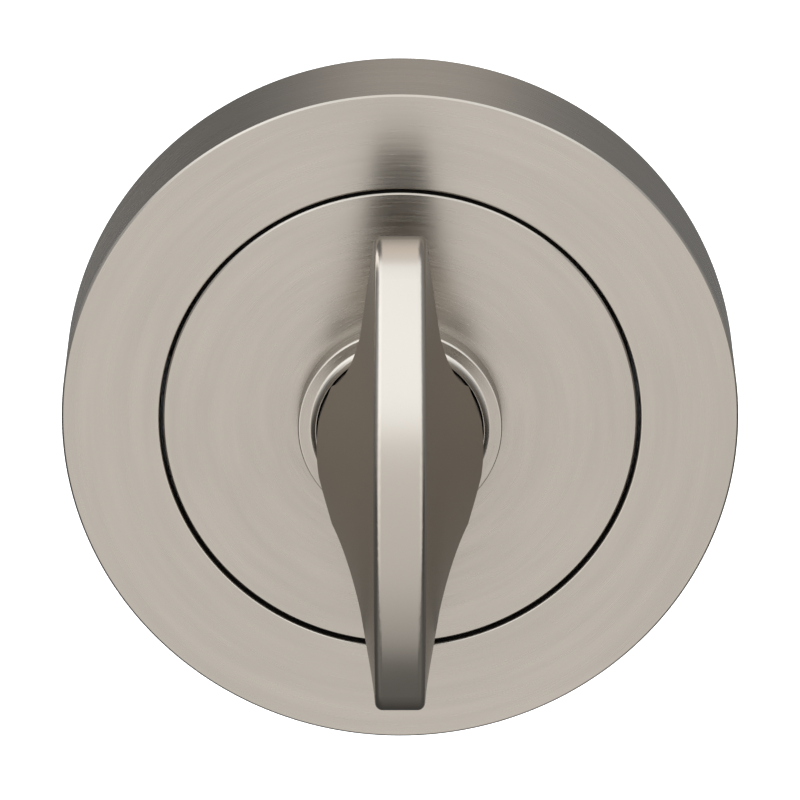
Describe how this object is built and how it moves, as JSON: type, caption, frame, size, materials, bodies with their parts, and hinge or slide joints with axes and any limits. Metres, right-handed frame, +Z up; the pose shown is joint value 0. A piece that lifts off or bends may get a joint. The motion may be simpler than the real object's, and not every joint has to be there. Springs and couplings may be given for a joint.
{
  "type": "bathroom thumb turn lock",
  "caption": "Round satin rose with an inset disc and a sculpted blade-shaped thumb turn on a square spindle, which works the bolt of a bathroom door lock.",
  "frame": {"origin": "on the axis of the turn, in the plane of the door face that the rose is fixed to", "axes": "+Y into the door along the spindle, so the front faces -Y; +Z up along the blade at rest; +X to the right as seen from the front"},
  "size_m": [0.052, 0.0904, 0.052],
  "materials": {
    "ring_nickel": "satin nickel plate, brushed in circles",
    "disc_nickel": "satin nickel plate, brushed in circles",
    "collar_nickel": "satin nickel plate, turned",
    "turn_nickel": "satin nickel plate, bead-blasted fine",
    "zinc_casting": "raw zinc die casting, matt grey",
    "nylon": "natural white nylon",
    "spring_steel": "dark phosphated spring steel",
    "zinc_plated_steel": "bright zinc-plated steel"
  },
  "bodies": {
    "rose": {"cover_ring": "ring_nickel", "centre_disc": "disc_nickel", "neck_collar": "collar_nickel", "mounting_plate": "zinc_casting", "neck_bush": "nylon", "cover_snap_ring": "spring_steel", "fixing_bolt_left": "zinc_plated_steel", "fixing_bolt_right": "zinc_plated_steel", "wood_screw_1": "zinc_plated_steel", "wood_screw_2": "zinc_plated_steel", "disc_screw_1": "zinc_plated_steel", "disc_screw_2": "zinc_plated_steel", "disc_screw_3": "zinc_plated_steel"},
    "turn": {"thumb_turn": "turn_nickel", "spindle": "zinc_plated_steel", "spindle_grub_screw": "zinc_plated_steel", "thrust_washer": "nylon", "spring_washer": "spring_steel", "circlip": "spring_steel"}
  },
  "joints": [
    {"name": "turn_rotation", "type": "hinge", "parent": "rose", "child": "turn", "pos_m": [0, 0, 0], "axis": [0, 1, 0], "continuous": true}
  ]
}
